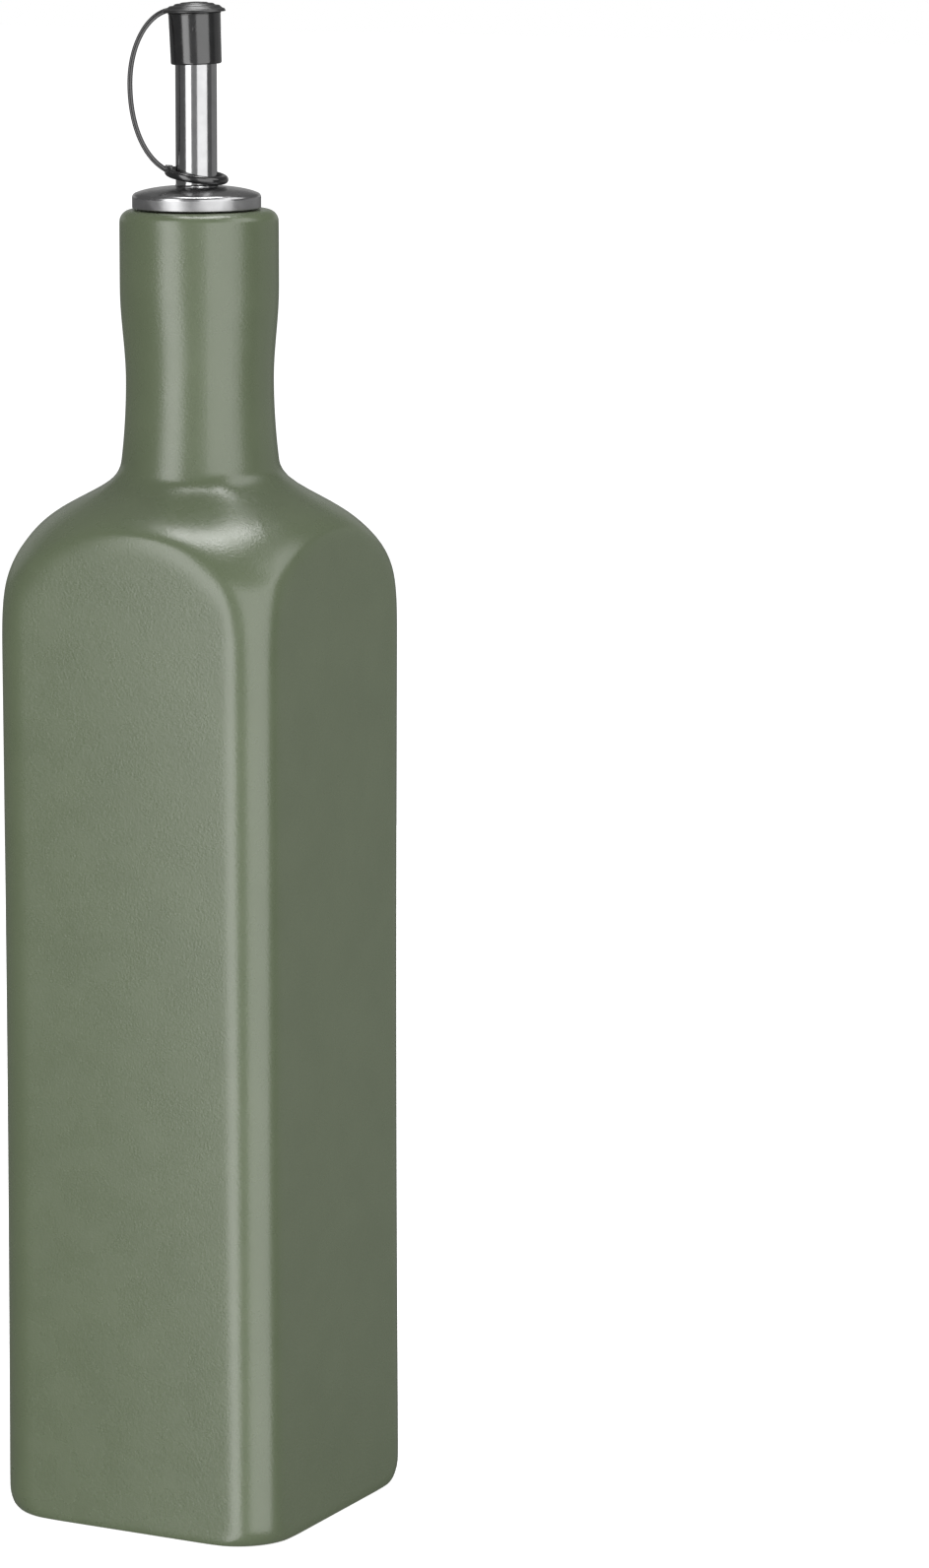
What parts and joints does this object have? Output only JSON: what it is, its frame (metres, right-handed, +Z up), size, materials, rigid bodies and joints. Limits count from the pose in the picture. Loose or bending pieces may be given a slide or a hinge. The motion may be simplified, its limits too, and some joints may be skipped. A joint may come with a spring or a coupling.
{
  "type": "oil dispenser bottle",
  "caption": "Tall square ceramic oil bottle with a round shoulder and neck, a steel pour spout on a domed collar, and a black cap held by a strap.",
  "frame": {"origin": "middle of the bottle's foot, on the surface that it stands on", "axes": "+Z up along the bottle's axis; the flat faces look along +X, -X, +Y and -Y; the cap's strap hangs out towards -X and -Y, 30 degrees from -X"},
  "size_m": [0.0604, 0.0604, 0.2945],
  "materials": {
    "glaze": "satin sage green glaze with a fine speckle",
    "stainless_steel": "polished tube and collar top, brushed collar band",
    "black_moulding": "smooth black silicone with a soft gloss"
  },
  "bodies": {
    "root": {"bottle": "glaze", "pourer_collar": "stainless_steel", "pour_tube": "stainless_steel", "stopper_cap": "black_moulding"}
  },
  "joints": []
}
